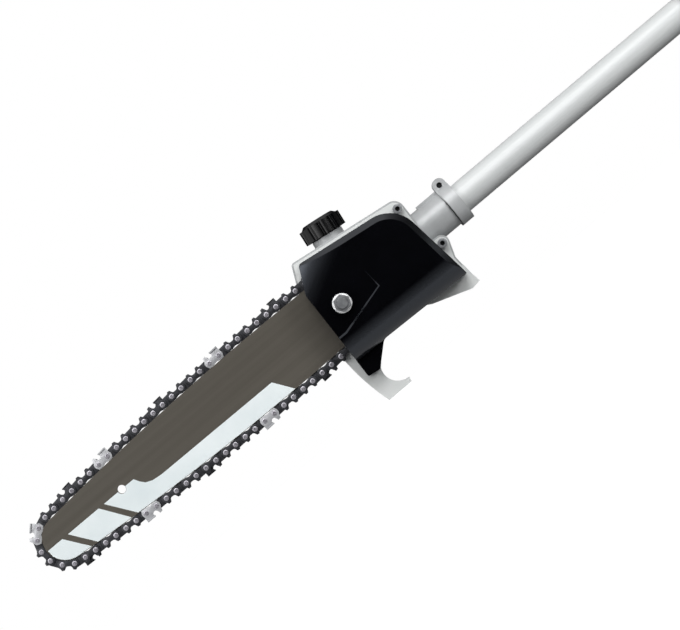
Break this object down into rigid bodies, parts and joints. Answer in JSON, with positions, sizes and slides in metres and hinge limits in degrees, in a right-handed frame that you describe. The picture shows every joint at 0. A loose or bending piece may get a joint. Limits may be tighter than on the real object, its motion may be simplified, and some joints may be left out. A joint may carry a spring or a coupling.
{
  "type": "telescoping pole saw",
  "caption": "Telescoping pole saw head: a chain on a guide bar, driven through a bevel gear case with branch hook, sprocket cover and oil cap, on a sliding tube with a lock collar.",
  "frame": {"origin": "on the pole's axis at the shoulder of the coupling spigot", "axes": "+X along the pole away from the saw head, +Z towards the oil cap, the guide bar on the -Y side"},
  "size_m": [1.1824, 0.0953, 0.1404],
  "materials": {
    "cast_alloy": "satin cast and painted silver",
    "tube_alloy": "satin drawn tube",
    "bar_steel": "dark ground steel",
    "chain_steel": "dark blued steel",
    "cutter_chrome": "chrome-plated cutter",
    "rivet_steel": "bright peened steel",
    "black_plastic": "fine-grained black moulding",
    "bush_plastic": "natural bearing plastic",
    "steel": "ground or zinc-plated steel",
    "seal_rubber": "soft black rubber",
    "pump_alloy": "machined alloy",
    "strainer_brass": "sintered brass"
  },
  "bodies": {
    "head": {"gear_housing": "cast_alloy", "hook_flange": "cast_alloy", "case_gasket": "seal_rubber", "flange_screws": "steel", "tank_cover": "black_plastic", "tank_screws": "steel", "near_bearing": "steel", "far_bearing": "steel", "shaft_seal": "seal_rubber", "pinion_bearings": "steel", "bearing_circlip": "steel", "pump_body": "pump_alloy", "oil_strainer": "strainer_brass", "bar_stud": "steel", "bar_nut": "steel", "inner_bar_guide": "steel", "outer_bar_guide": "steel", "sprocket_cover": "black_plastic", "clamp_ring": "tube_alloy", "clamp_screw": "steel", "inner_tube": "tube_alloy", "shaft_bushes": "bush_plastic", "tube_foot": "bush_plastic"},
    "outer_pole": {"outer_tube": "tube_alloy", "guide_bush": "bush_plastic", "lock_collar": "black_plastic", "lock_nut": "steel", "coupling_spigot": "tube_alloy", "lower_bush": "bush_plastic"},
    "lock_knob": {"lock_knob": "black_plastic", "lock_bolt": "steel"},
    "drive_sleeve": {"drive_sleeve": "steel"},
    "drive_shaft": {"drive_shaft": "steel", "bevel_pinion": "steel"},
    "output": {"output_shaft": "steel", "bevel_gear": "steel", "drive_sprocket": "steel", "sprocket_washer": "steel", "sprocket_clip": "steel", "pump_drive_gear": "steel"},
    "pump_gear": {"pump_gear": "steel"},
    "bar": {"bar_side_plates": "bar_steel", "bar_core": "bar_steel", "nose_hub": "bar_steel", "tension_block": "steel", "chain_drive_links": "chain_steel", "chain_tie_straps": "chain_steel", "chain_cutters": "cutter_chrome", "chain_rivets": "rivet_steel"},
    "nose_sprocket": {"nose_sprocket": "steel"},
    "tension_screw": {"tension_screw": "steel"},
    "cap_seal": {"cap_seal": "seal_rubber"},
    "oil_cap": {"oil_cap": "black_plastic"}
  },
  "joints": [
    {"name": "pole_extension", "type": "slide", "parent": "head", "child": "outer_pole", "axis": [1, 0, 0], "range_m": [-0.2, 0.11]},
    {"name": "lock_turn", "type": "hinge", "parent": "outer_pole", "child": "lock_knob", "pos_m": [-0.463, 0, -0.03235], "axis": [0, -1, 0], "range_deg": [0, 360]},
    {"name": "sleeve_spin", "type": "hinge", "parent": "outer_pole", "child": "drive_sleeve", "pos_m": [0, 0, 0], "axis": [-1, 0, 0], "continuous": true},
    {"name": "drive_spin", "type": "hinge", "parent": "head", "child": "drive_shaft", "pos_m": [-0.7924, 0, 0], "axis": [-1, 0, 0], "continuous": true, "deforming": ["chain_drive_links", "chain_tie_straps", "chain_cutters", "chain_rivets"]},
    {"name": "output_spin", "type": "hinge", "parent": "head", "child": "output", "pos_m": [-0.7924, 0, 0], "axis": [0, -1, 0], "continuous": true},
    {"name": "pump_spin", "type": "hinge", "parent": "head", "child": "pump_gear", "pos_m": [-0.80477, 0, -0.01237], "axis": [0, -1, 0], "continuous": true},
    {"name": "bar_adjust", "type": "slide", "parent": "head", "child": "bar", "axis": [1, 0, 0], "range_m": [0, 0.008]},
    {"name": "nose_spin", "type": "hinge", "parent": "bar", "child": "nose_sprocket", "pos_m": [-1.0981, -0.031, -0.003], "axis": [0, -1, 0], "continuous": true},
    {"name": "tension_turn", "type": "hinge", "parent": "head", "child": "tension_screw", "pos_m": [-0.7924, -0.01605, 0.0085], "axis": [1, 0, 0], "range_deg": [0, 2880]},
    {"name": "cap_lift", "type": "slide", "parent": "head", "child": "cap_seal", "axis": [0.1364, 0, 0.9907], "range_m": [0, 0.012]},
    {"name": "cap_turn", "type": "hinge", "parent": "cap_seal", "child": "oil_cap", "pos_m": [-0.8048, -0.0045, 0.0393], "axis": [0.1364, 0, 0.9907], "range_deg": [0, 1080]}
  ],
  "couplings": [
    {"joint": "sleeve_spin", "follows": "drive_spin", "ratio": 1},
    {"joint": "output_spin", "follows": "drive_spin", "ratio": 0.66667},
    {"joint": "pump_spin", "follows": "drive_spin", "ratio": -0.44444},
    {"joint": "nose_spin", "follows": "drive_spin", "ratio": 0.66667},
    {"joint": "tension_turn", "follows": "bar_adjust", "rad_per_m": 6283.2},
    {"joint": "cap_turn", "follows": "cap_lift", "rad_per_m": 1570.8}
  ]
}
